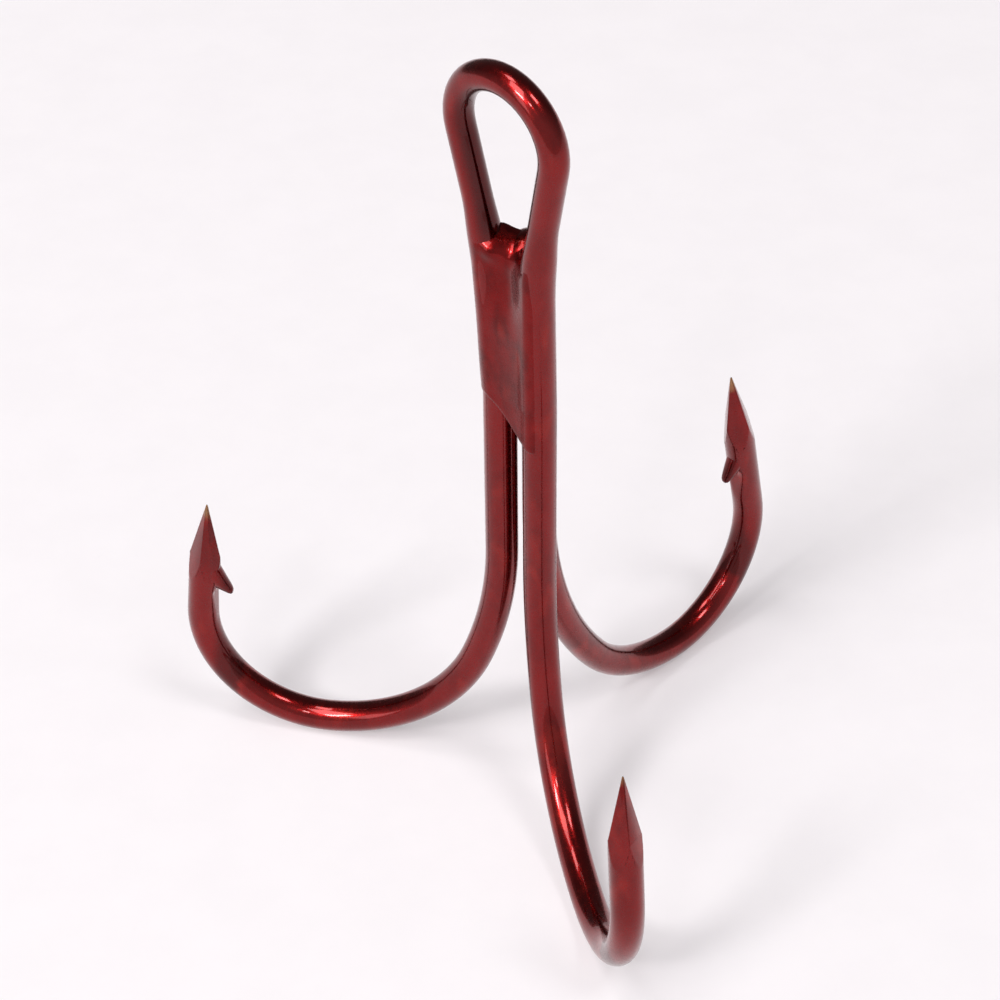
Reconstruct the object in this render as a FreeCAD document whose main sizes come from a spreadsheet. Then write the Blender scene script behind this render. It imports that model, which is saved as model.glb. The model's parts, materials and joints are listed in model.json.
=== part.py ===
# Treble hook: three barbed bends about one shank, with a teardrop eye on top.
# It is two lengths of round hook wire brazed together. One wire makes two hooks and,
# with its middle, the eye; the other makes the third hook, and its shank lies in the
# groove behind the legs of the first.
#
# Frame: the origin is the centre of the eye, where the line or split ring pulls. +Z runs
# up from the bends to the eye, the single hook opens along +Y, the two hooks of the pair
# open to either side of -Y, and the eye lies across X. Millimetres. A "drop" on the sheet
# is a distance down from the centre of the eye.
import FreeCAD, Part
import math
import os
from FreeCAD import Placement, Rotation, Vector

DIMENSIONS = [
    # main sizes
    ("wire_dia", 1.0, "round hook wire"),
    ("eye_wire_dia", 0.86, "the same wire drawn down for the eye"),
    ("hook_length", 24.03, "centre of the eye down to the plane the bends stand on"),
    ("bend_reach", 9.86, "shank to the furthest part of the bend, wire centres"),
    # how the three shanks lie together
    ("pair_half_gap", 0.79, "between the shanks of the double hook, halved"),
    ("single_stagger", 0.79, "single hook's shank behind the plane of the pair"),
    ("pair_swing_angle", 31.7, "how far forward of the X axis the pair's hooks swing"),
    # bend of the pair, from the shank round to the point; radii are shares of the reach
    ("pair_shank_ratio", 1.353, "first, open curve out of the shank"),
    ("pair_shank_angle", 20.3, ""),
    ("pair_sweep_ratio", 0.593, "second curve, down to the bottom of the bend"),
    ("pair_sweep_angle", 65.3, ""),
    ("pair_heel_ratio", 0.375, "tight curve up into the point"),
    ("left_heel_angle", 100.7, ""),
    ("right_heel_angle", 104.4, ""),
    ("pair_leg_ratio", 0.438, "straight leg that carries the barb and point"),
    # bend of the single hook
    ("single_shank_ratio", 1.331, ""),
    ("single_shank_angle", 36.5, ""),
    ("single_sweep_ratio", 0.552, ""),
    ("single_sweep_angle", 47.7, ""),
    ("single_heel_ratio", 0.345, ""),
    ("single_heel_angle", 107.9, ""),
    ("single_leg_ratio", 0.601, ""),
    # legs and eye of the double hook, in a plane that leans slightly forward
    ("lean_drop", 8.94, "where the legs start to lean"),
    ("lean_angle", 3.0, ""),
    ("lean_bend_radius", 12.0, ""),
    ("spread_drop", 3.84, "where the legs spread for the eye"),
    ("spread_half_gap", 0.94, ""),
    ("spread_bend_radius", 15.0, ""),
    ("eye_radius", 1.754, "centre of the eye to the centre of the wire"),
    ("cut_end_drop", 3.9, "cut end of the single hook's shank"),
    # ground points: four flats that meet at the tip
    ("point_length", 2.95, "tip to the foot of the flats"),
    ("tip_width", 0.05, "the tip is left very slightly blunt"),
    # barb: a fin cut from the inner side of the wire and lifted
    ("pair_barb_setback", 3.44, "tip of the point back to the tip of the barb"),
    ("single_barb_setback", 4.2, ""),
    ("barb_height", 0.42, "barb tip clear of the wire's surface"),
    ("barb_sweep", 0.71, "barb tip behind the middle of its root, along the wire"),
    ("barb_root_depth", 0.25, "root lies this far inside the wire's surface"),
    ("barb_root_length", 1.26, "along the wire"),
    ("barb_root_width", 0.62, ""),
    ("barb_tip_length", 0.18, ""),
    ("barb_tip_width", 0.24, ""),
    ("notch_depth", 0.14, "cut left behind under the barb"),
    ("notch_length", 1.3, ""),
    # braze between the shanks
    ("bite_ratio", 0.94, "share of the wire's radius at which a braze surface meets it"),
    ("web_left_drop", 9.13, "lower edge of the front web at the left leg"),
    ("web_right_drop", 10.43, "and at the right leg"),
    ("web_sag", 0.12, "hollow of the web between the legs"),
    ("web_wrap_angle", 20.0, "how near the web comes to the front of each leg"),
    ("seam_drop", 10.83, "lower end of the two rear seams"),
    ("seam_sag", 0.1, ""),
    ("seam_wrap_angle", 28.0, ""),
    # braze in the throat of the eye: part of a ring, and a cap on the single hook
    ("throat_drop", 3.1, "lowest part of the throat, between the legs"),
    ("throat_offset", 0.3, "and how far it lies toward the right leg"),
    ("throat_radius", 1.25, "of the hollow between the legs"),
    ("throat_arc_angle", 92.0, "of the ring, which ends inside the legs"),
    ("throat_turn_angle", 14.0, "middle of that arc, toward the left leg from straight down"),
    ("bead_radius", 0.42, "of the ring's round section"),
    ("cap_radius", 0.66, "of the cap over the single hook's cut end"),
    ("cap_height", 0.75, "half of the cap's height"),
    ("cap_lap", 0.35, "middle of the cap below the cut end"),
]

doc = FreeCAD.newDocument("treble_hook")
sheet = doc.addObject("Spreadsheet::Sheet", "Dims")
for row, (name, value, note) in enumerate(DIMENSIONS, start=1):
    sheet.set("A%d" % row, name)
    sheet.set("B%d" % row, str(value))
    sheet.set("C%d" % row, note)
    sheet.setAlias("B%d" % row, name)
doc.recompute()


def dim(name):
    """A driving dimension, read back from the sheet."""
    return float(getattr(sheet, name))


def angle(name):
    return math.radians(dim(name))


WIRE_RADIUS = dim("wire_dia") / 2


# ---- where the wires run ----------------------------------------------------------
# A run is a straight (its two ends) or an arc (start, middle, end); each run leaves the
# one before it with no kink.

def leaning(x, drop):
    """Point at x, and this far down the leaning plane of the legs and the eye."""
    return Vector(x, drop * math.sin(angle("lean_angle")),
                  -drop * math.cos(angle("lean_angle")))


PAIR_PLANE = leaning(0, dim("lean_drop")).y


def hook_plane(foot, out):
    """Map (reach, height above the ground plane) in one hook's upright plane to space."""
    def place(reach, height):
        return foot + out * reach + Vector(0, 0, height - dim("hook_length"))

    return place


def bend_runs(place, bend, heel_angle):
    """Runs of one hook, from the foot of its shank to the tip of its point."""
    curves = [(dim(bend + "_shank_ratio"), angle(bend + "_shank_angle")),
              (dim(bend + "_sweep_ratio"), angle(bend + "_sweep_angle")),
              (dim(bend + "_heel_ratio"), angle(heel_angle))]
    heading = -math.pi / 2
    reach = height = lowest = 0.0
    flat_runs = []
    for ratio, turn in curves:
        radius = ratio * dim("bend_reach")
        end = heading + turn
        centre_reach = reach - radius * math.sin(heading)
        centre_height = height + radius * math.cos(heading)
        stations = [(centre_reach + radius * math.sin(way), centre_height - radius * math.cos(way))
                    for way in (heading, (heading + end) / 2, end)]
        flat_runs.append(stations)
        if heading <= 0 <= end:
            lowest = centre_height - radius
        reach, height = stations[2]
        heading = end
    leg = dim(bend + "_leg_ratio") * dim("bend_reach")
    tip = (reach + leg * math.cos(heading), height + leg * math.sin(heading))
    flat_runs.append([(reach, height), tip])
    lift = WIRE_RADIUS - lowest
    return [[place(across, up + lift) for across, up in run] for run in flat_runs]


def rounded(corners):
    """Straight runs and tangent arcs through (point, bend radius) corners."""
    runs = []
    here = corners[0][0]
    for (before, _), (corner, radius), (after, _) in zip(corners, corners[1:], corners[2:]):
        back = (before - corner).normalize()
        onward = (after - corner).normalize()
        half = back.getAngle(onward) / 2
        start = corner + back * (radius / math.tan(half))
        end = corner + onward * (radius / math.tan(half))
        apex = corner + (back + onward).normalize() * (radius / math.sin(half) - radius)
        runs += [[here, start], [start, apex, end]]
        here = end
    return runs + [[here, corners[-1][0]]]


def backwards(runs):
    return [run[::-1] for run in runs[::-1]]


def to_point_foot(runs):
    """The same runs, stopped where the ground point begins."""
    root, tip = runs[-1]
    return runs[:-1] + [[root, tip - (tip - root).normalize() * dim("point_length")]]


def wire_path(name, runs):
    """Centre line of one length of wire."""
    edges = [Part.LineSegment(*run) if len(run) == 2 else Part.Arc(*run) for run in runs]
    path = doc.addObject("Part::Feature", name)
    path.Shape = Part.Wire([edge.toShape() for edge in edges])
    return path


# ---- solids -----------------------------------------------------------------------

def sized(kind, name, **formulas):
    """A Part primitive whose sizes are expressions on the sheet."""
    item = doc.addObject(kind, name)
    for prop, formula in formulas.items():
        item.setExpression(prop, formula)
    return item


def cut(name, base, tool):
    result = doc.addObject("Part::Cut", name)
    result.Base = base
    result.Tool = tool
    return result


def group(kind, name, shapes):
    result = doc.addObject(kind, name)
    result.Shapes = shapes
    return result


def halves(run):
    """The two halves of an arc, each as its start, middle and end."""
    curve = Part.Arc(*run).toShape()
    first, last = curve.ParameterRange
    points = [curve.valueAt(first + (last - first) * quarter / 4) for quarter in range(5)]
    return points[:3], points[2:]


def tapered_wire(name, run):
    """Wire along an arc, drawn down from the wire's diameter to the eye's."""
    curve = Part.Arc(*run).toShape()
    first, last = curve.ParameterRange
    rings = []
    for number in range(3):
        station = first + (last - first) * number / 2
        ring = sized("Part::Circle", "%s_ring_%d" % (name, number),
                     Radius="(Dims.wire_dia * %d + Dims.eye_wire_dia * %d) / 4"
                            % (2 - number, number))
        ring.Placement = Placement(curve.valueAt(station),
                                   Rotation(Vector(0, 0, 1), curve.tangentAt(station)))
        rings.append(ring)
    taper = doc.addObject("Part::Loft", name)
    taper.Sections = rings
    taper.Solid = True
    return taper


def swept_wire(name, path, diameter="wire_dia"):
    """Round wire along a centre line."""
    first = path.Shape.OrderedEdges[0]
    start = path.Shape.OrderedVertexes[0].Point
    section = sized("Part::Circle", name + "_section", Radius="Dims.%s / 2" % diameter)
    section.Placement = Placement(start, Rotation(Vector(0, 0, 1),
                                                  first.tangentAt(first.FirstParameter)))
    sweep = doc.addObject("Part::Sweep", name)
    sweep.Sections = [section]
    sweep.Spine = (path, ["Edge%d" % number for number in range(1, len(path.Shape.Edges) + 1)])
    sweep.Solid = True
    return sweep


class PointFrame:
    """Directions at one hook's tip: forward out of it, inward to the shank, across both."""

    def __init__(self, runs, barb_setback):
        root, self.tip = runs[-1]
        self.forward = (self.tip - root).normalize()
        inward = Vector(runs[0][0].x, runs[0][0].y, self.tip.z) - self.tip
        self.inward = (inward - self.forward * inward.dot(self.forward)).normalize()
        self.across = self.forward.cross(self.inward)
        self.barb_setback = dim(barb_setback)

    def at(self, setback, height):
        """Point this far back from the tip and this far inward of the wire's centre."""
        return self.tip - self.forward * setback + self.inward * height


def ground_point(name, frame):
    """End of the wire ground to four flats; the ridges face in, out and to the sides."""
    half_wire, half_tip = "Dims.wire_dia / 2", "Dims.tip_width / 2"
    foot = frame.at(dim("point_length"), 0)
    taper = sized("Part::Wedge", name + "_taper",
                  Xmin="-" + half_wire, Xmax=half_wire, Zmin="-" + half_wire, Zmax=half_wire,
                  X2min="-" + half_tip, X2max=half_tip, Z2min="-" + half_tip, Z2max=half_tip,
                  Ymax="Dims.point_length")
    taper.Placement = Placement(foot, Rotation(frame.inward + frame.across, frame.forward,
                                               Vector(), "YXZ"))
    stub = sized("Part::Cylinder", name + "_stub", Radius=half_wire, Height="Dims.point_length")
    stub.Placement = Placement(foot, Rotation(Vector(0, 0, 1), frame.forward))
    return group("Part::MultiCommon", name, [stub, taper])


def barb(name, frame):
    """Lifted fin, from a long root inside the wire to a small swept-back tip."""
    length, width = "Dims.barb_root_length / 2", "Dims.barb_root_width / 2"
    tip_length, tip_width = "Dims.barb_tip_length / 2", "Dims.barb_tip_width / 2"
    fin = sized("Part::Wedge", name,
                Xmin="-" + length, Xmax=length, Zmin="-" + width, Zmax=width,
                X2min="-Dims.barb_sweep - " + tip_length,
                X2max="-Dims.barb_sweep + " + tip_length,
                Z2min="-" + tip_width, Z2max=tip_width,
                Ymax="Dims.barb_root_depth + Dims.barb_height")
    root = frame.at(frame.barb_setback - dim("barb_tip_length") / 2 - dim("barb_sweep"),
                    WIRE_RADIUS - dim("barb_root_depth"))
    fin.Placement = Placement(root, Rotation(frame.forward, frame.inward, Vector(), "XYZ"))
    return fin


def notch(name, frame):
    """Ramp cut in the wire under the barb, deepest just behind the barb."""
    deepest = frame.at(frame.barb_setback - dim("barb_tip_length"),
                       WIRE_RADIUS - dim("notch_depth"))
    rise = math.atan2(dim("notch_depth"), dim("notch_length"))
    along = frame.inward * math.sin(rise) - frame.forward * math.cos(rise)
    ramp = sized("Part::Box", name, Length="Dims.notch_length * 1.2", Width="Dims.wire_dia",
                 Height="Dims.wire_dia / 2")
    ramp.Placement = Placement(deepest - frame.across * WIRE_RADIUS,
                               Rotation(along, frame.across, Vector(), "XYZ"))
    return ramp


def hook_wire(label, lengths, hooks, barb_setback):
    """Join the lengths of wire, grind the points, cut the notches and lift the barbs."""
    frames = [(label + side, PointFrame(runs, barb_setback)) for side, runs in hooks]
    points = [ground_point(name + "_point", frame) for name, frame in frames]
    shape = group("Part::MultiFuse", label + "_ground", lengths + points)
    for name, frame in frames:
        shape = cut(name + "_notched", shape, notch(name + "_notch", frame))
    barbs = [barb(name + "_barb", frame) for name, frame in frames]
    shape = group("Part::MultiFuse", label, [shape] + barbs)
    shape.Refine = True
    shape.Label = label
    return shape


# ---- double hook ------------------------------------------------------------------

def pair_hook(side, heel_angle):
    swing = angle("pair_swing_angle")
    out = Vector(side * math.cos(swing), -math.sin(swing), 0)
    foot = Vector(side * dim("pair_half_gap"), PAIR_PLANE, 0)
    return bend_runs(hook_plane(foot, out), "pair", heel_angle)


left_hook = pair_hook(-1, "left_heel_angle")
right_hook = pair_hook(1, "right_heel_angle")

# Each leg leaves its spread corner along the tangent to the eye's circle.
tangent_angle = (math.acos(dim("eye_radius") / math.hypot(dim("spread_half_gap"), dim("spread_drop")))
                 - math.atan2(dim("spread_drop"), dim("spread_half_gap")))
touch_half_gap = dim("eye_radius") * math.cos(tangent_angle)
touch_drop = -dim("eye_radius") * math.sin(tangent_angle)


def pair_leg(side, foot):
    """Leg of the double hook, from the foot of its shank up to the eye's circle."""
    return rounded([
        (foot, 0),
        (leaning(side * dim("pair_half_gap"), dim("lean_drop")), dim("lean_bend_radius")),
        (leaning(side * dim("spread_half_gap"), dim("spread_drop")), dim("spread_bend_radius")),
        (leaning(side * touch_half_gap, touch_drop), 0)])


eye_arch = [leaning(-touch_half_gap, touch_drop), leaning(0, -dim("eye_radius")),
            leaning(touch_half_gap, touch_drop)]
left_leg = pair_leg(-1, left_hook[0][0])
right_leg = pair_leg(1, right_hook[0][0])
double_path = wire_path("double_path", backwards(to_point_foot(left_hook)) + left_leg + [eye_arch]
                        + backwards(right_leg) + to_point_foot(right_hook))


def hook_lengths(name, hook, leg):
    """Full wire up to the middle of the spread bend, and the taper above it."""
    lower, upper = halves(leg[-2])
    path = wire_path(name + "_path", backwards(to_point_foot(hook)) + leg[:-2] + [lower])
    return [swept_wire(name + "_wire", path), tapered_wire(name + "_taper", upper)]


eye_path = wire_path("eye_path", [left_leg[-1], eye_arch] + backwards(right_leg[-1:]))
double_hook = hook_wire("double_hook",
                        hook_lengths("left", left_hook, left_leg)
                        + [swept_wire("eye_wire", eye_path, "eye_wire_dia")]
                        + hook_lengths("right", right_hook, right_leg),
                        [("_left", left_hook), ("_right", right_hook)], "pair_barb_setback")

# ---- single hook ------------------------------------------------------------------

stagger = Vector(0, dim("single_stagger"), 0)
rear_hook = bend_runs(hook_plane(Vector(0, PAIR_PLANE, 0) + stagger, Vector(0, 1, 0)),
                      "single", "single_heel_angle")
rear_shank = rounded([
    (leaning(0, dim("cut_end_drop")) + stagger, 0),
    (leaning(0, dim("lean_drop")) + stagger, dim("lean_bend_radius")),
    (rear_hook[0][0], 0)])
single_path = wire_path("single_path", rear_shank + to_point_foot(rear_hook))
single_hook = hook_wire("single_hook", [swept_wire("single_wire", single_path)],
                        [("", rear_hook)], "single_barb_setback")


# ---- braze ------------------------------------------------------------------------

# The web and the seams reach up to the single hook's cut end.
BRAZE_TOP = dim("cut_end_drop")


def crossings(path, drop):
    """Where a wire's centre line passes one height, from -X to +X."""
    size = dim("hook_length") * 4
    level = Part.makePlane(size, size, Vector(-size / 2, -size / 2, -drop))
    return sorted((v.Point for v in path.Shape.section(level).Vertexes), key=lambda p: p.x)


def centres(drop):
    """Centres of the left leg, the right leg and the single shank at one height."""
    left, right = crossings(double_path, drop)
    return left, right, crossings(single_path, max(drop, BRAZE_TOP))[0]


def bridge(first, second, outside, wrap, sag):
    """Hollow line from just inside one wire's skin to the next, facing `outside`."""
    skin = WIRE_RADIUS * dim("bite_ratio")
    lift = outside * skin * math.cos(wrap)
    inset = (second - first).normalize() * skin * math.sin(wrap)
    start = first + inset + lift
    end = second - inset + lift
    return start, (start + end) * 0.5 - outside * sag, end


def section(arc, corners, settle=None):
    """Closed section: an arc, then straights from its end through corners to its start."""
    if settle:
        arc = [settle(point) for point in arc]
        corners = [settle(point) for point in corners]
    line = [arc[2]] + corners + [arc[0]]
    edges = [Part.Arc(*arc)] + [Part.LineSegment(a, b) for a, b in zip(line, line[1:])]
    return Part.Wire([edge.toShape() for edge in edges])


def web_section(drop, settle=None):
    left, right, single = centres(drop)
    arc = bridge(left, right, Vector(0, -1, 0), angle("web_wrap_angle"), dim("web_sag"))
    return section(arc, [right, single, left], settle)


def on_slanting_edge(point):
    """Move a point of the web's lowest section up or down on to its slanting edge."""
    share = point.x / dim("pair_half_gap") / 2 + 0.5
    drop = dim("web_left_drop") + share * (dim("web_right_drop") - dim("web_left_drop"))
    return Vector(point.x, point.y, -drop)


def seam_section(side, drop):
    left, right, single = centres(drop)
    leg = left if side < 0 else right
    line = (single - leg).normalize()
    outside = Vector(side * abs(line.y), abs(line.x), 0)
    arc = bridge(leg, single, outside, angle("seam_wrap_angle"), dim("seam_sag"))
    return section(arc, [single, leg])


def steps(low, high, count):
    return [low + (high - low) * number / count for number in range(count + 1)]


def loft(name, sections):
    blank = doc.addObject("Part::Feature", name)
    blank.Shape = Part.makeLoft(sections, True, True)
    return blank


def braze(label, shape, tools):
    """Braze metal: a blank, less the wires that it wets and the braze beside it."""
    for number, tool in enumerate(tools, start=1):
        shape = cut("%s_less_%d" % (label, number), shape, tool)
    shape.Label = label
    return shape


wires = [double_hook, single_hook]

throat_ring = sized("Part::Torus", "throat_ring", Radius1="Dims.throat_radius + Dims.bead_radius",
                    Radius2="Dims.bead_radius", Angle3="Dims.throat_arc_angle")
across_eye = leaning(0, -1).cross(Vector(1, 0, 0))
start = math.radians(-90 - dim("throat_turn_angle") - dim("throat_arc_angle") / 2)
arc_start = Vector(math.cos(start), 0, 0) - leaning(0, math.sin(start))
throat_ring.Placement = Placement(
    leaning(dim("throat_offset"), dim("throat_drop") - dim("throat_radius")),
    Rotation(arc_start, Vector(), across_eye * -1, "ZXY"))
cap = sized("Part::Ellipsoid", "cut_end_cap", Radius1="Dims.cap_height",
            Radius2="Dims.cap_radius", Radius3="Dims.cap_radius")
cap.Placement = Placement(leaning(0, dim("cut_end_drop") + dim("cap_lap")) + stagger, Rotation())
throat_braze = braze("throat_braze", group("Part::MultiFuse", "throat_blank", [throat_ring, cap]),
                     wires)

low_web = web_section(dim("web_right_drop"), on_slanting_edge)
# The straight part of the web starts one wire radius above its slanting edge.
upper_web = [web_section(drop) for drop in
             steps(dim("web_left_drop") - WIRE_RADIUS, BRAZE_TOP, 3)]
front_braze = braze("front_braze", loft("web_blank", [low_web] + upper_web),
                    wires + [throat_braze])
left_braze, right_braze = [
    braze(name, loft(name + "_blank", [seam_section(side, drop) for drop in
                                       steps(dim("seam_drop"), BRAZE_TOP, 4)]),
          wires + [throat_braze]) for name, side in (("left_braze", -1), ("right_braze", 1))]

# ---- check and write --------------------------------------------------------------

doc.recompute()
for item in doc.Objects:
    if "Invalid" in item.State or "Error" in item.State:
        raise RuntimeError("%s did not build" % item.Label)

nodes = [double_hook, single_hook, front_braze, left_braze, right_braze, throat_braze]
for node in nodes:
    if node.Shape.isNull() or not node.Shape.isValid() or len(node.Shape.Solids) != 1:
        raise RuntimeError("%s is not one sound solid" % node.Label)

os.makedirs("parts", exist_ok=True)
for node in nodes:
    node.Shape.exportStep("parts/%s.step" % node.Label)
    print(node.Label, round(node.Shape.Volume, 3), "mm3", node.Shape.BoundBox)
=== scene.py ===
import json
import math

import bmesh
import bpy
from mathutils import Matrix, Vector

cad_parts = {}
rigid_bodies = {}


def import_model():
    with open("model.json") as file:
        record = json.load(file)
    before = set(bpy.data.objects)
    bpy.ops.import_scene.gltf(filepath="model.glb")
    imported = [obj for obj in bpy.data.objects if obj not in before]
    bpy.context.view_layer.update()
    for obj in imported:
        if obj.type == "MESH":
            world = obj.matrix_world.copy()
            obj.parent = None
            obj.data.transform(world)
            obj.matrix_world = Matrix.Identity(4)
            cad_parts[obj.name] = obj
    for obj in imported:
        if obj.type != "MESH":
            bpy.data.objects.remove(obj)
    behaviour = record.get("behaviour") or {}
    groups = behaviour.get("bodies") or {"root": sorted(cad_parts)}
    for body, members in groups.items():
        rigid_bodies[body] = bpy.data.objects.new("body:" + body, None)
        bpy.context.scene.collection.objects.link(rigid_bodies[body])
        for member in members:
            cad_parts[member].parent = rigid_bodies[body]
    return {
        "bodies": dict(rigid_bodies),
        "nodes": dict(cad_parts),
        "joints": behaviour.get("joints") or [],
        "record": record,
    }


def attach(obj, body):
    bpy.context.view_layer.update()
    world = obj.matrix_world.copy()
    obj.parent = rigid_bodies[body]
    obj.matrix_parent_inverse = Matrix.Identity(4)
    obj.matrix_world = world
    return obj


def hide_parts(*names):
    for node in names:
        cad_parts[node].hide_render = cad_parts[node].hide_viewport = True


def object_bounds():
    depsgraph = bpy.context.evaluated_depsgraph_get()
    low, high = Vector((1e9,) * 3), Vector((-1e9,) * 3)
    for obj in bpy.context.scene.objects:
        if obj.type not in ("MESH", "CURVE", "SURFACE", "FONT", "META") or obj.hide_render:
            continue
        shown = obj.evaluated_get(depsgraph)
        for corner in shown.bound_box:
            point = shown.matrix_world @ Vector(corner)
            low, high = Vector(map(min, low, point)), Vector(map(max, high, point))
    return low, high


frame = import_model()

cad_box = [list(corner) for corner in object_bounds()]
floor_height = cad_box[0][2]


# ---- shader maths -----------------------------------------------------------------------

class Signal:
    """A shader socket that works in a Python expression."""

    def __init__(self, sheet, socket):
        self.sheet = sheet
        self.socket = socket
        self.wide = socket.type in {"VECTOR", "RGBA"}

    def _with(self, operation, other, swap=False):
        first, second = (other, self) if swap else (self, other)
        wide = self.wide or isinstance(other, tuple) or getattr(other, "wide", False)
        kind = "ShaderNodeVectorMath" if wide else "ShaderNodeMath"
        return self.sheet.add(kind, {"operation": operation}, {0: first, 1: second})

    def __add__(self, other):
        return self._with("ADD", other)

    __radd__ = __add__

    def __sub__(self, other):
        return self._with("SUBTRACT", other)

    def __rsub__(self, other):
        return self._with("SUBTRACT", other, swap=True)

    def __mul__(self, other):
        return self._with("MULTIPLY", other)

    __rmul__ = __mul__

    def __truediv__(self, other):
        return self._with("DIVIDE", other)

    def __rtruediv__(self, other):
        return self._with("DIVIDE", other, swap=True)

    def __pow__(self, other):
        return self._with("POWER", other)

    def __rpow__(self, other):
        return self._with("POWER", other, swap=True)

    def __neg__(self):
        return self * -1.0


class Sheet:
    """The node tree of a material or a world."""

    def __init__(self, owner):
        self.owner = owner
        owner.use_nodes = True
        self.tree = owner.node_tree
        self.tree.nodes.clear()

    def add(self, kind, settings=None, sockets=None, out=0):
        """Make a node, set or link its sockets, and return one of its outputs."""
        node = self.tree.nodes.new(kind)
        for name, value in (settings or {}).items():
            setattr(node, name, value)
        for key, value in (sockets or {}).items():
            socket = node.inputs[key]
            if isinstance(value, Signal):
                self.tree.links.new(value.socket, socket)
            elif socket.type == "VECTOR" and isinstance(value, (int, float)):
                socket.default_value = (value, value, value)
            elif socket.type == "RGBA" and len(value) == 3:
                socket.default_value = (*value, 1.0)
            else:
                socket.default_value = value
        return Signal(self, node.outputs[out]) if node.outputs else None

    def place(self):
        """Position on the object, in millimetres."""
        return self.add("ShaderNodeTexCoord", out="Object") * 1000.0

    def noise(self, scale, detail=2.0, roughness=0.5, stretch=None):
        where = self.place() * (stretch or 1.0)
        return self.add("ShaderNodeTexNoise", None, {
            "Vector": where, "Scale": scale, "Detail": detail, "Roughness": roughness})

    def ramp(self, value, low, high, start=0.0, end=1.0):
        return self.add("ShaderNodeMapRange", {"interpolation_type": "SMOOTHSTEP"}, {
            0: value, 1: low, 2: high, 3: start, 4: end})

    def mix(self, factor, first, second):
        return self.add("ShaderNodeMix", {"data_type": "RGBA"},
                        {0: factor, 6: first, 7: second}, out=2)

    def bump(self, height, distance, strength=1.0):
        return self.add("ShaderNodeBump", None, {
            "Height": height, "Distance": distance, "Strength": strength})

    def finish(self, shader):
        self.add("ShaderNodeOutputMaterial", None, {"Surface": shader})
        return self.owner


# ---- lacquer ----------------------------------------------------------------------------

THIN_RED = (0.36, 0.018, 0.012)     # where the lacquer is thin
PAINTED_SHADE_RED = (0.05, 0.003, 0.003)   # painted shade, inside the eye and on the barbs
PAINTED_EDGE_REFLECTION = (0.30, 0.12, 0.10)     # painted reflection on the wire's far edges
BARE_BRASS = (0.36, 0.20, 0.09)     # worn through at the points


def lacquer(name, pale, deep, rough, pooled, clear):
    """Clear red lacquer over bright metal, thin at the tips, with painted shade inside the eye
    and on the barbs and a painted reflection on its grazing edges.
    """
    sheet = Sheet(bpy.data.materials.new(name))
    pooling = sheet.ramp(sheet.noise(1.1, 3.0, 0.55, (1.0, 1.0, 0.6)), 0.35, 0.68)
    colour = sheet.mix(pooling * pooled, pale, deep)
    thin = sheet.ramp(sheet.noise(1.3, 2.0, 0.5, (1.0, 1.0, 0.5)), 0.54, 0.72)
    colour = sheet.mix(thin * 0.4, colour, THIN_RED)
    speck = sheet.ramp(sheet.noise(9.0, 2.0, 0.6), 0.66, 0.74)
    colour = sheet.mix(speck * 0.35, colour, deep)
    # Painted reflection: the lacquer is tinted paler where it is seen edge-on.
    facing = sheet.add("ShaderNodeLayerWeight", None, {"Blend": 0.5}, out="Facing")
    colour = sheet.mix(sheet.ramp(facing, 0.8, 1.0) * 0.2, colour, PAINTED_EDGE_REFLECTION)
    # Painted shade: darker red wherever the mark is set, inside the eye and on the barbs.
    painted_shade = sheet.add("ShaderNodeAttribute", {"attribute_name": "painted_shade"}, out="Fac")
    colour = sheet.mix(painted_shade * 0.8, colour, PAINTED_SHADE_RED)
    wear = sheet.add("ShaderNodeAttribute", {"attribute_name": "wear"}, out="Fac")
    ragged = wear + sheet.noise(3.5, 4.0, 0.6) * 0.16
    colour = sheet.mix(sheet.ramp(ragged, 0.86, 1.02) * 0.85, colour, BARE_BRASS)
    grain = sheet.noise(7.0, 3.0, 0.6)
    peel = sheet.noise(2.6, 2.0, 0.5)
    shader = sheet.add("ShaderNodeBsdfPrincipled", None, {
        "Base Color": colour, "Metallic": 1.0,
        "Roughness": sheet.ramp(grain, 0.3, 0.7, rough - 0.04, rough + 0.04),
        "Coat Weight": clear, "Coat Roughness": 0.05, "Coat IOR": 1.5,
        "Normal": sheet.bump(grain * 0.35 + peel, 0.000004, 0.6)})
    return sheet.finish(shader)


# ---- sizes, in millimetres; a drop is a distance down from the centre of the eye ---------

MM = 0.001
WIRE, EYE_WIRE = 0.5, 0.43                  # radius of the wire, and once drawn down
THINNING = 2.4, 3.9                         # drops between which it thins
RING = 48                                   # corners of the wire's round section
STEP = 0.22                                 # between one ring of corners and the next
GROUND = -24.03                             # plane that the three bends stand on
REACH = 9.86                                # shank to the furthest part of a bend
HALF_GAP = 0.79                             # half the way from one leg to the other
STAGGER = 0.79                              # single hook's shank behind the pair's
FORWARD_SWING = math.radians(31.7)          # of the pair's hooks, from the X axis
LEAN, LEAN_DROP = math.radians(3.0), 8.94   # forward lean of the legs, and its foot
SPREAD_GAP, SPREAD_DROP = 0.94, 3.84        # where the legs part toward the eye
LEAN_RADIUS, SPREAD_RADIUS = 12.0, 15.0     # of the wire's slight bends at those places
EYE, EYE_FOOT = 1.754, 3.6                  # radius of the eye's arch; drop of its foot
CUT_END = 3.9                               # drop of the single hook's cut end
POINT, TIP = 2.95, 0.05                     # length of the ground point; its blunt end
RIDGE = 0.035                               # width of the rounding on a point's ridges
PAIR_BARB, REAR_BARB = 3.44, 4.2            # tip of the point back to the tip of the barb
NOTCH, NOTCH_LENGTH = 0.15, 1.3             # depth of the cut behind the barb, and length
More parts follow.
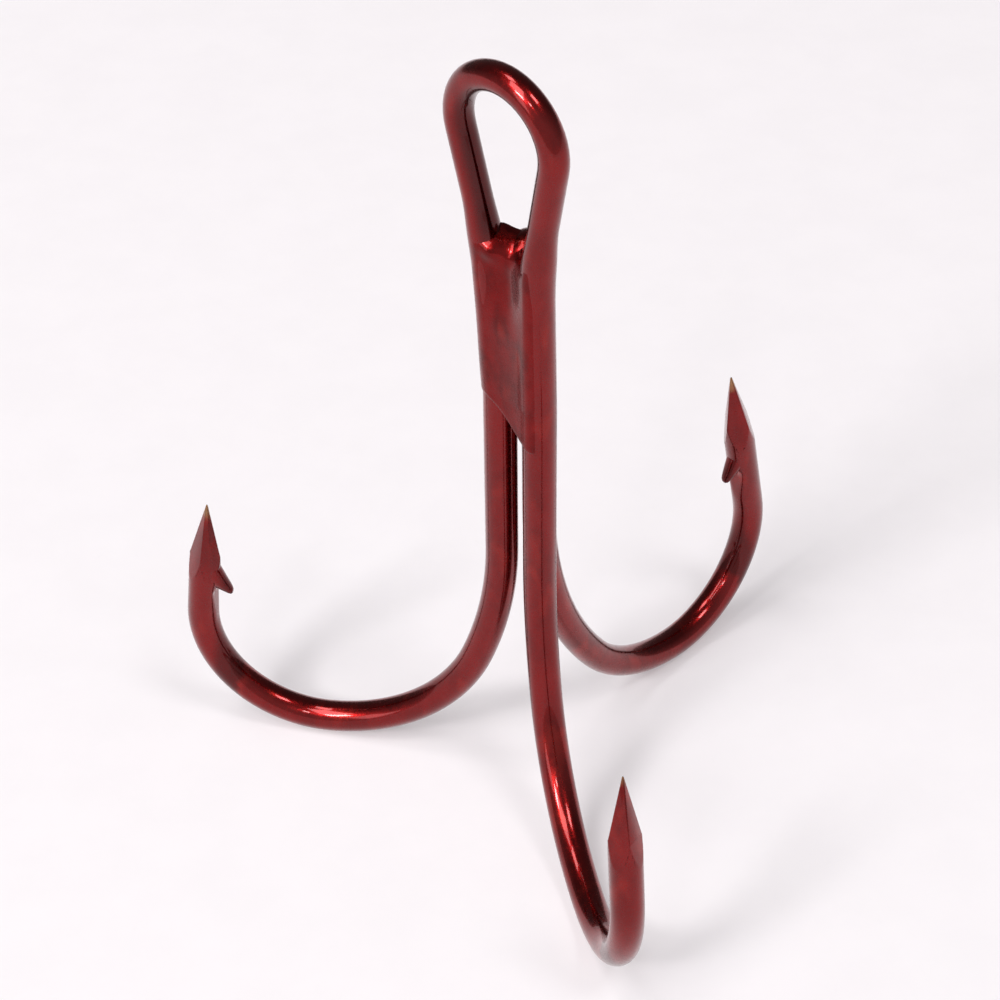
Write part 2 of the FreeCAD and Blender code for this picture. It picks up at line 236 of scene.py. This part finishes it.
# Each bend: (radius as a share of the reach, turn in degrees) three times, then the leg.
LEFT_BEND = (1.353, 20.3), (0.593, 65.3), (0.375, 100.7), 0.438
RIGHT_BEND = (1.353, 20.3), (0.593, 65.3), (0.375, 104.4), 0.438
REAR_BEND = (1.331, 36.5), (0.552, 47.7), (0.345, 107.9), 0.601
RISE = Vector((0, 0, 1))


def smooth(low, high, value):
    """Ease from 0 at low to 1 at high; low may be the greater."""
    share = min(1.0, max(0.0, (value - low) / (high - low)))
    return share * share * (3 - 2 * share)


def wire_at(drop):
    """Radius of the pair's wire at one height."""
    return EYE_WIRE + (WIRE - EYE_WIRE) * smooth(*THINNING, drop)


def leaning(x, drop):
    """Point in the leaning plane of the legs and the eye."""
    return Vector((x, drop * math.sin(LEAN), -drop * math.cos(LEAN)))


# The pair's straight shanks stand this far behind the centre of the eye.
PLANE = leaning(0, LEAN_DROP).y


def bend_runs(foot, out, bend):
    """Straight and curved runs of one hook, from its shank to its tip."""
    heading = -math.pi / 2
    reach = height = lowest = 0.0
    runs = []
    for ratio, turn in bend[:3]:
        radius, end = ratio * REACH, heading + math.radians(turn)
        centre = (reach - radius * math.sin(heading), height + radius * math.cos(heading))
        ways = (heading, (heading + end) / 2, end)
        stations = [(centre[0] + radius * math.sin(way), centre[1] - radius * math.cos(way))
                    for way in ways]
        runs.append(stations)
        if heading <= 0 <= end:
            lowest = centre[1] - radius
        (reach, height), heading = stations[2], end
    leg = bend[3] * REACH
    runs.append([(reach, height),
                 (reach + leg * math.cos(heading), height + leg * math.sin(heading))])
    return [[foot + out * across + RISE * (up + WIRE - lowest + GROUND)
             for across, up in run] for run in runs]


def rounded(corners):
    """Straight runs and tangent arcs through (point, radius) corners."""
    runs, here = [], corners[0][0]
    for (before, _), (corner, radius), (after, _) in zip(corners, corners[1:], corners[2:]):
        back, onward = (before - corner).normalized(), (after - corner).normalized()
        half = back.angle(onward) / 2
        start = corner + back * (radius / math.tan(half))
        end = corner + onward * (radius / math.tan(half))
        apex = corner + (back + onward).normalized() * (radius / math.sin(half) - radius)
        runs += [[here, start], [start, apex, end]]
        here = end
    return runs + [[here, corners[-1][0]]]


def backwards(runs):
    """The same runs, taken from the other end."""
    return [run[::-1] for run in runs[::-1]]


def arc_of(run):
    """Centre, axis and angle of the arc through three points."""
    a, b, c = run
    axis = (b - a).cross(c - b).normalized()
    side = axis.cross(b - a).normalized()
    middle = (a + b) / 2
    toward = c - b
    reach = ((b + c) / 2 - middle).dot(toward) / side.dot(toward)
    centre = middle + side * reach
    return centre, axis, 2 * (a - centre).angle(b - centre)


def ring_parts(geom):
    """The vertices of an extruded ring, and the edges that run round it."""
    verts = [item for item in geom if isinstance(item, bmesh.types.BMVert)]
    new = set(verts)
    edges = [item for item in geom if isinstance(item, bmesh.types.BMEdge)
             and item.verts[0] in new and item.verts[1] in new]
    return verts, edges


def sweep(bm, runs):
    """Sweep a ring of wire along the runs, straight or curved."""
    first = arc_of(runs[0])[1] if len(runs[0]) == 3 else None
    ahead = first.cross(runs[0][0] - arc_of(runs[0])[0]) if first else runs[0][1] - runs[0][0]
    place = Matrix.Translation(runs[0][0]) @ ahead.to_track_quat("Z", "Y").to_matrix().to_4x4()
    made = bmesh.ops.create_circle(bm, cap_ends=False, segments=RING, radius=WIRE, matrix=place)
    verts = made["verts"]
    edges = list({edge for vert in verts for edge in vert.link_edges})
    ends = [edges]
    for run in runs:
        if len(run) == 3:
            centre, axis, turn = arc_of(run)
            count = max(2, round(turn * (run[0] - centre).length / STEP))
            last = bmesh.ops.spin(bm, geom=verts + edges, cent=centre, axis=axis, angle=turn,
                                  steps=count, use_merge=False, use_duplicate=False)
            verts = [item for item in last["geom_last"] if isinstance(item, bmesh.types.BMVert)]
            edges = [item for item in last["geom_last"] if isinstance(item, bmesh.types.BMEdge)]
            continue
        count = max(1, round((run[1] - run[0]).length / STEP))
        for _ in range(count):
            geom = bmesh.ops.extrude_edge_only(bm, edges=edges)["geom"]
            verts, edges = ring_parts(geom)
            bmesh.ops.translate(bm, vec=(run[1] - run[0]) / count, verts=verts)
    ends.append(edges)
    for edges in ends:
        bmesh.ops.edgeloop_fill(bm, edges=edges)


class PointFrame:
    """Directions at a hook's tip: forward out of it, inward to the shank, across both."""

    def __init__(self, runs, barb, fin=1.0, worn=1.0):
        root, self.tip = runs[-1]
        self.forward = (self.tip - root).normalized()
        inward = Vector((runs[0][0].x, runs[0][0].y, self.tip.z)) - self.tip
        self.inward = (inward - self.forward * inward.dot(self.forward)).normalized()
        self.across = self.forward.cross(self.inward)
        self.barb, self.fin, self.worn = barb, fin, worn

    def at(self, setback, height, aside=0.0):
        return (self.tip - self.forward * setback + self.inward * height
                + self.across * aside)

    def measure(self, point):
        """(setback, height) of a point, and its distance from the wire's axis."""
        away = point - self.tip
        setback, height = -away.dot(self.forward), away.dot(self.inward)
        return setback, height, (away + self.forward * setback).length

    def holds(self, point, setback):
        """Is this point on the last stretch of the wire?"""
        along, _, off = self.measure(point)
        return along < setback and off < WIRE * 2


def grind(bm, frame):
    """Cut the four flats of the point; their ridges face in, out and to the sides."""
    slope = math.atan2(WIRE - TIP / 2, POINT)
    for way in (1, 1), (1, -1), (-1, -1), (-1, 1):
        side = (frame.inward * way[0] + frame.across * way[1]).normalized()
        faces = [face for face in bm.faces
                 if all(frame.holds(vert.co, POINT + 0.3) for vert in face.verts)]
        verts = list({vert for face in faces for vert in face.verts})
        edges = list({edge for face in faces for edge in face.edges})
        done = bmesh.ops.bisect_plane(
            bm, geom=verts + edges + faces, plane_co=frame.tip + side * TIP / 2,
            plane_no=side * math.cos(slope) + frame.forward * math.sin(slope),
            clear_outer=True)
        rim = [item for item in done["geom_cut"] if isinstance(item, bmesh.types.BMEdge)]
        bmesh.ops.holes_fill(bm, edges=rim)


def notch(bm, frame):
    """Flatten the wire's inner side in a ramp that is deepest just behind the barb."""
    for vert in bm.verts:
        if not frame.holds(vert.co, frame.barb + NOTCH_LENGTH):
            continue
        setback, height, _ = frame.measure(vert.co)
        past = setback - frame.barb + 0.18
        limit = WIRE - NOTCH * max(0.0, 1 - past / NOTCH_LENGTH)
        if past > 0 and height > limit:
            vert.co -= frame.inward * (height - limit)


def tube(bm, places):
    """A unit circle drawn through a list of matrices, and closed at both ends."""
    made = bmesh.ops.create_circle(bm, cap_ends=False, segments=24, radius=1.0,
                                   matrix=places[0])
    verts = made["verts"]
    edges = list({edge for vert in verts for edge in vert.link_edges})
    caps = [edges]
    for before, after in zip(places, places[1:]):
        geom = bmesh.ops.extrude_edge_only(bm, edges=edges)["geom"]
        verts, edges = ring_parts(geom)
        bmesh.ops.transform(bm, matrix=after @ before.inverted(), verts=verts)
    caps.append(edges)
    for edges in caps:
        bmesh.ops.edgeloop_fill(bm, edges=edges)


# Ovals of a barb, from its root inside the wire up to its rounded tip: how far behind the
# tip, how far above the wire's surface, half the length and half the width.
BARB_OVALS = [
    (0.72, -0.30, 0.62, 0.33), (0.54, -0.10, 0.50, 0.29), (0.37, 0.07, 0.38, 0.25),
    (0.21, 0.22, 0.27, 0.21), (0.08, 0.35, 0.18, 0.17), (0.02, 0.415, 0.13, 0.13),
    (0.0, 0.45, 0.08, 0.08), (0.0, 0.46, 0.03, 0.03)]


def barb(bm, frame):
    """Lifted fin, swept back toward the bend."""
    basis = Matrix((frame.forward, frame.across, frame.inward)).transposed().to_4x4()
    tip = frame.barb - 0.06
    tube(bm, [Matrix.Translation(frame.at(tip - behind * frame.fin, WIRE + above))
              @ basis @ Matrix.Diagonal((long * frame.fin, wide, 1, 1))
              for behind, above, long, wide in BARB_OVALS])


def mesh_piece(name, bm, replaced, sharp=35):
    """Finish a mesh built in millimetres and set it in the place of a CAD node."""
    bmesh.ops.scale(bm, vec=(MM, MM, MM), verts=bm.verts)
    bmesh.ops.remove_doubles(bm, verts=bm.verts, dist=1e-7)
    bmesh.ops.recalc_face_normals(bm, faces=bm.faces)
    mesh = bpy.data.meshes.new(name)
    bm.to_mesh(mesh)
    bm.free()
    mesh.shade_smooth()
    mesh.set_sharp_from_angle(angle=math.radians(sharp))
    piece = bpy.data.objects.new(name, mesh)
    bpy.context.scene.collection.objects.link(piece)
    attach(piece, "root")
    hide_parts(replaced)
    return piece


def draw_down(bm, axis):
    """Thin the wire toward the eye, and mark its inner side for painted shade."""
    painted_shade = bm.verts.layers.float["painted_shade"]
    for vert in bm.verts:
        centre = axis(vert.co)
        if centre is None:
            continue
        off = vert.co - centre
        vert.co = centre + off * (wire_at(-vert.co.z) / WIRE)
        inward = leaning(0, min(EYE_FOOT, max(0.0, -centre.z))) - centre
        inside = smooth(0.1, 0.8, off.normalized().dot(inward.normalized()))
        vert[painted_shade] = inside * (1 - smooth(3.2, 4.3, -vert.co.z))


def hook_mesh(name, runs, frames, replaced, axis=None):
    """One length of wire with its points ground, its barbs cut and lifted."""
    bm = bmesh.new()
    wear, painted_shade = [bm.verts.layers.float.new(layer) for layer in ("wear", "painted_shade")]
    sweep(bm, runs)
    if axis:
        draw_down(bm, axis)
    for frame in frames:
        notch(bm, frame)
        grind(bm, frame)
    ridges = [edge for edge in bm.edges if len(edge.link_faces) == 2
              and edge.calc_face_angle() > math.radians(12)
              and any(frame.holds(vert.co, POINT) for frame in frames for vert in edge.verts)]
    bmesh.ops.bevel(bm, geom=ridges, offset=RIDGE, affect="EDGES", segments=3, profile=0.5,
                    material=-1, clamp_overlap=False)
    for frame in frames:
        barb(bm, frame)
        for vert in bm.verts:
            setback, height, off = frame.measure(vert.co)
            if off < WIRE * 3:
                # Painted shade on the barb, and wear toward the point.
                vert[painted_shade] = max(vert[painted_shade], 0.8 * smooth(WIRE - 0.1, WIRE + 0.25, height))
                vert[wear] = max(vert[wear], frame.worn - max(0.0, setback) / 3.0)
    return mesh_piece(name, bm, replaced)


def swing_out(side):
    """Direction in which one hook of the pair opens."""
    return Vector((side * math.cos(FORWARD_SWING), -math.sin(FORWARD_SWING), 0))


left_hook = bend_runs(Vector((-HALF_GAP, PLANE, 0)), swing_out(-1), LEFT_BEND)
right_hook = bend_runs(Vector((HALF_GAP, PLANE, 0)), swing_out(1), RIGHT_BEND)
rear_hook = bend_runs(Vector((0, PLANE + STAGGER, 0)), Vector((0, 1, 0)), REAR_BEND)

# Each leg runs straight into the eye's arch and touches it at this angle.
touch = (math.acos(EYE / math.hypot(SPREAD_GAP, SPREAD_DROP))
         - math.atan2(SPREAD_DROP, SPREAD_GAP))
touch_gap, touch_drop = EYE * math.cos(touch), -EYE * math.sin(touch)


def pair_leg(side, foot):
    """One leg of the pair, from its bend up to the eye's arch."""
    return rounded([(foot, 0), (leaning(side * HALF_GAP, LEAN_DROP), LEAN_RADIUS),
                    (leaning(side * SPREAD_GAP, SPREAD_DROP), SPREAD_RADIUS),
                    (leaning(side * touch_gap, touch_drop), 0)])


left_leg = pair_leg(-1, left_hook[0][0])
right_leg = pair_leg(1, right_hook[0][0])
eye_arch = [leaning(-touch_gap, touch_drop), leaning(0, -EYE), leaning(touch_gap, touch_drop)]
eye_runs = left_leg[-2:] + [eye_arch] + right_leg[-2:]
pair_runs = backwards(left_hook) + left_leg + [eye_arch] + backwards(right_leg) + right_hook
stagger = Vector((0, STAGGER, 0))
rear_runs = rounded([(leaning(0, CUT_END) + stagger, 0),
                     (leaning(0, LEAN_DROP) + stagger, LEAN_RADIUS),
                     (rear_hook[0][0], 0)]) + rear_hook


def eye_axis(point):
    """Nearest point on the centre line of the eye and the legs below it."""
    if point.z < -SPREAD_DROP - 0.6:
        return None
    best = None
    for run in eye_runs:
        if len(run) == 2:
            way = run[1] - run[0]
            share = min(1.0, max(0.0, (point - run[0]).dot(way) / way.length_squared))
            near = run[0] + way * share
        else:
            centre, axis, turn = arc_of(run)
            flat = point - centre
            flat -= axis * flat.dot(axis)
            start = run[0] - centre
            along = math.atan2(flat.dot(axis.cross(start)), flat.dot(start)) % (2 * math.pi)
            if along <= turn:
                near = centre + flat.normalized() * start.length
            else:
                near = min((run[0], run[2]), key=lambda end: (end - point).length)
        if best is None or (near - point).length < (best - point).length:
            best = near
    return best


pair_points = [PointFrame(left_hook, PAIR_BARB), PointFrame(right_hook, PAIR_BARB, worn=0.9)]
rear_point = PointFrame(rear_hook, REAR_BARB, fin=0.8)
pair = hook_mesh("pair_wire", pair_runs, pair_points, "double_hook", eye_axis)
rear = hook_mesh("rear_wire", rear_runs, [rear_point], "single_hook")


# ---- braze -----------------------------------------------------------------------------

def leg_centre(side, drop):
    """Centre of a leg of the pair at one height, from the lean down to the shanks."""
    share = min(1.0, max(0.0, (LEAN_DROP - drop) / (LEAN_DROP - SPREAD_DROP)))
    gap = HALF_GAP + (SPREAD_GAP - HALF_GAP) * share
    if drop < SPREAD_DROP:
        gap += (SPREAD_DROP - drop) * 0.228
    return Vector((side * gap, leaning(0, min(drop, LEAN_DROP)).y, -drop))


def around(side, drop, azimuth):
    """Point of the film on a leg, and its outward direction."""
    way = math.radians(azimuth)
    out = Vector((math.cos(way), math.sin(way), 0))
    return leg_centre(side, drop) + out * (wire_at(drop) + film(side, azimuth, drop)), out


# Azimuths between which the braze wraps each leg, in degrees, and how thick it lies there.
LEFT_TURN, RIGHT_TURN = (-172, -79), (-102, -18)
FILM, SUNK = 0.052, 0.01


def film(side, azimuth, drop):
    """Thickness of braze on a leg; below nothing it sinks into the wire."""
    if side < 0:
        spread = smooth(-172, -135, azimuth) * (0.3 + 0.7 * smooth(6.0, 8.6, drop))
    else:
        spread = 1 - smooth(-105, -45, azimuth)
    return FILM * spread * smooth(2.9, 4.0, drop) - SUNK


def web_point(across, drop):
    """Surface of the braze and its outward direction; across runs 0 to 3."""
    if across <= 1:
        azimuth = LEFT_TURN[0] + (LEFT_TURN[1] - LEFT_TURN[0]) * across
        return around(-1, drop, azimuth)
    if across >= 2:
        azimuth = RIGHT_TURN[0] + (RIGHT_TURN[1] - RIGHT_TURN[0]) * (across - 2)
        return around(1, drop, azimuth)
    start, out = around(-1, drop, LEFT_TURN[1])
    end, out_end = around(1, drop, RIGHT_TURN[0])
    span = (end - start).length
    leave = Vector((-out.y, out.x, 0)) * span
    land = Vector((-out_end.y, out_end.x, 0)) * span
    t = across - 1
    point = (start * (2 * t**3 - 3 * t**2 + 1) + leave * (t**3 - 2 * t**2 + t)
             + end * (3 * t**2 - 2 * t**3) + land * (t**3 - t**2))
    heading = (start * (6 * t * t - 6 * t) + leave * (3 * t * t - 4 * t + 1)
               + end * (6 * t - 6 * t * t) + land * (3 * t * t - 2 * t)).normalized()
    return point, Vector((heading.y, -heading.x, 0))


def hollow(across, drop):
    """The braze sinks between the legs under the throat, beside a bead on the left leg."""
    depth = 0.26 * smooth(6.6, 4.6, drop)
    bead = 0.20 * math.exp(-((across - 1.24) / 0.16) ** 2 - ((drop - 3.78) / 0.32) ** 2)
    return depth * math.exp(-((across - 1.5) / 0.30) ** 2) - bead


def web_rim(across):
    """How far down the braze reaches."""
    return 9.08 + 1.27 * smooth(0.75, 2.2, across)


def throat_rim(across):
    """Where the braze rolls over into the eye."""
    t = across - 1.6
    return 3.52 - 0.5 * min(1.0, abs(t) / 0.75) ** 2.2 + 0.10 * smooth(1.2, 2.0, across)


# Rows of the web, from its lower edge up. The edge is rounded: each of its rows has its
# height above the rim and how far it is drawn in.
WEB_EDGE = [(0.0, 0.32), (0.0, 0.10), (0.012, 0.058), (0.035, 0.026), (0.07, 0.008),
            (0.11, 0.0)]
WEB_ROWS, ROLL_ROWS = 60, 18
ROLL, ROLL_RISE, ROLL_TURN = 0.8, 0.8, math.radians(158)


def web_row(row, across):
    """Drop of one row of the web, and how far it is drawn in."""
    top = throat_rim(across) + ROLL_RISE
    if row < len(WEB_EDGE):
        up, inset = WEB_EDGE[row]
        return web_rim(across) - up, inset
    row -= len(WEB_EDGE)
    if row < WEB_ROWS:
        low = web_rim(across) - WEB_EDGE[-1][0]
        return low - (low - top) * (row + 1) / (WEB_ROWS + 1), 0.0
    turn = ROLL_TURN * (row - WEB_ROWS) / (ROLL_ROWS - 1)
    inset = ROLL * (1 - max(0.0, math.cos(turn))) - 0.35 * min(0.0, math.cos(turn))
    between = smooth(0.95, 1.22, across) * smooth(2.05, 1.78, across)
    return top - ROLL_RISE * math.sin(turn), inset * (0.35 + 0.65 * between)


def front_web():
    """Braze in front of the legs: a grid laid over them and rolled over at the throat."""
    columns = [number / 22 for number in range(44)] + [2 + number / 20 for number in range(21)]
    rows = len(WEB_EDGE) + WEB_ROWS + ROLL_ROWS
    bm = bmesh.new()
    bmesh.ops.create_grid(bm, x_segments=len(columns) - 1, y_segments=rows - 1, size=1.0)
    for vert in bm.verts:
        across = columns[round((vert.co.x + 1) / 2 * (len(columns) - 1))]
        drop, inset = web_row(round((vert.co.y + 1) / 2 * (rows - 1)), across)
        point, out = web_point(across, drop)
        vert.co = point - out * (inset + hollow(across, drop))
    return mesh_piece("front_web", bm, "front_braze", 60)


def throat_bead():
    """Hump of braze behind the legs, over the single hook's cut end."""
    bm = bmesh.new()
    bmesh.ops.create_uvsphere(bm, u_segments=48, v_segments=32, radius=1.0)
    bmesh.ops.scale(bm, vec=(0.72, 0.79, 0.85), verts=bm.verts)
    bmesh.ops.translate(bm, vec=(0, 0.86, -4.32), verts=bm.verts)
    return mesh_piece("throat_bead", bm, "throat_braze", 60)


# ---- finishes ---------------------------------------------------------------------------

def coat(pieces, material):
    """Give pieces one material each."""
    for piece in pieces:
        piece.data.materials.clear()
        piece.data.materials.append(material)


wire_lacquer = lacquer("red lacquer on wire", (0.215, 0.006, 0.006), (0.125, 0.003, 0.003),
                       0.25, 0.6, 0.5)
braze_lacquer = lacquer("red lacquer on braze", (0.205, 0.006, 0.006), (0.10, 0.003, 0.003),
                        0.27, 0.9, 0.25)
nodes = frame["nodes"]
coat([pair, rear, nodes["double_hook"], nodes["single_hook"]], wire_lacquer)
coat([front_web(), throat_bead()] + [nodes[name] for name in (
    "front_braze", "left_braze", "right_braze", "throat_braze")], braze_lacquer)


# ---- floor, lights, camera ---------------------------------------------------------------

bpy.ops.mesh.primitive_plane_add(size=2.0, location=(-0.65, 0.65, floor_height),
                                 rotation=(0, 0, math.radians(45)))
floor = bpy.context.object
floor.name = "floor"
paper = Sheet(bpy.data.materials.new("pale paper"))
fibre = paper.ramp(paper.noise(0.35, 4.0, 0.6), 0.3, 0.7)
speckle = paper.ramp(paper.noise(2.2, 3.0, 0.6), 0.64, 0.8) * 0.12
lit = paper.mix(fibre, (0.915, 0.875, 0.895), (0.93, 0.89, 0.91))
lit = paper.mix(speckle, lit, (0.78, 0.74, 0.75))
matt = paper.add("ShaderNodeBsdfPrincipled", None, {
    "Base Color": lit, "Roughness": 1.0, "Specular IOR Level": 0.0})
glow = paper.add("ShaderNodeBsdfPrincipled", None, {
    "Base Color": (0, 0, 0), "Roughness": 1.0, "Specular IOR Level": 0.0,
    "Emission Color": paper.mix(fibre, (0.955, 0.913, 0.938), (0.975, 0.932, 0.957)),
    "Emission Strength": 1.0})
# These rays see part of the paper's own pale tone, which keeps its shadows light.
seen = (paper.add("ShaderNodeLightPath", out="Is Camera Ray")
        + paper.add("ShaderNodeLightPath", out="Is Glossy Ray")
        + paper.add("ShaderNodeLightPath", out="Is Transmission Ray"))
both = paper.add("ShaderNodeMixShader", None, {0: seen * 0.35, 1: matt, 2: glow})
floor.data.materials.append(paper.finish(both))


def softbox(name, azimuth, elevation, reach, size, radiance):
    """A lamp that faces the hook: its direction in degrees, its reach and size in metres."""
    data = bpy.data.lights.new(name, "AREA")
    data.shape = "RECTANGLE"
    data.size, data.size_y = size
    data.energy = radiance * math.pi * size[0] * size[1]
    lamp = bpy.data.objects.new(name, data)
    turn, rise = math.radians(azimuth), math.radians(elevation)
    way = Vector((math.cos(turn) * math.cos(rise), math.sin(turn) * math.cos(rise),
                  math.sin(rise)))
    lamp.location = way * reach + Vector((0, 0, floor_height / 2))
    lamp.rotation_euler = (-way).to_track_quat("-Z", "Y").to_euler()
    bpy.context.scene.collection.objects.link(lamp)
    return lamp


softbox("window", 266, 55, 0.6, (0.24, 0.30), 5.85)
softbox("window core", 269, 36, 0.55, (0.12, 0.09), 37.0)
softbox("front card", 295, 40, 0.55, (0.05, 0.05), 24.0)
softbox("window sill", 264, 14, 0.6, (0.16, 0.22), 2.4)
softbox("right lamp", 4, 64, 0.6, (0.14, 0.14), 10.8)
softbox("ceiling lamp", 216, 72, 0.6, (0.15, 0.15), 7.2)

# The room is darker behind the hook than on the camera's side.
room = Sheet(bpy.data.worlds.new("studio"))
toward = room.add("ShaderNodeVectorMath", {"operation": "DOT_PRODUCT"}, {
    0: room.add("ShaderNodeTexCoord", out="Generated"), 1: (-0.53, 0.53, 0.66)}, out="Value")
behind = room.add("ShaderNodeMapRange", None, {0: toward, 1: -0.45, 2: 0.5})
air = room.add("ShaderNodeBackground", None, {
    "Color": room.mix(behind, (0.55, 0.539, 0.5445), (0.12, 0.1176, 0.1188))})
room.add("ShaderNodeOutputWorld", None, {"Surface": air})
bpy.context.scene.world = room.owner

# The camera looks down at the hook from in front and to the right of the single hook.
swing, tilt, roll = math.radians(44.826), math.radians(40.084), math.radians(-0.741)
distance, aside, aim_height, behind_shanks = 79.2827, -0.9238, 10.916, 0.456
right = Vector((math.cos(swing), math.sin(swing), 0))
level = Vector((-math.sin(swing), math.cos(swing), 0))
forward = level * math.cos(tilt) - RISE * math.sin(tilt)
up = right.cross(forward)
eye_point = Vector((0, PLANE + behind_shanks, aim_height)) + right * aside - forward * distance
eye_point = eye_point * MM + RISE * floor_height
rolled_right = right * math.cos(roll) + up * math.sin(roll)
rolled_up = up * math.cos(roll) - right * math.sin(roll)
lens = bpy.data.cameras.new("view")
lens.sensor_width = 36
lens.lens = 95.951
lens.clip_start = 0.001
camera = bpy.data.objects.new("view", lens)
camera.matrix_world = Matrix((
    (rolled_right.x, rolled_up.x, -forward.x, eye_point.x),
    (rolled_right.y, rolled_up.y, -forward.y, eye_point.y),
    (rolled_right.z, rolled_up.z, -forward.z, eye_point.z),
    (0, 0, 0, 1)))
bpy.context.scene.collection.objects.link(camera)
bpy.context.scene.camera = camera
bpy.context.scene.view_settings.view_transform = "Standard"
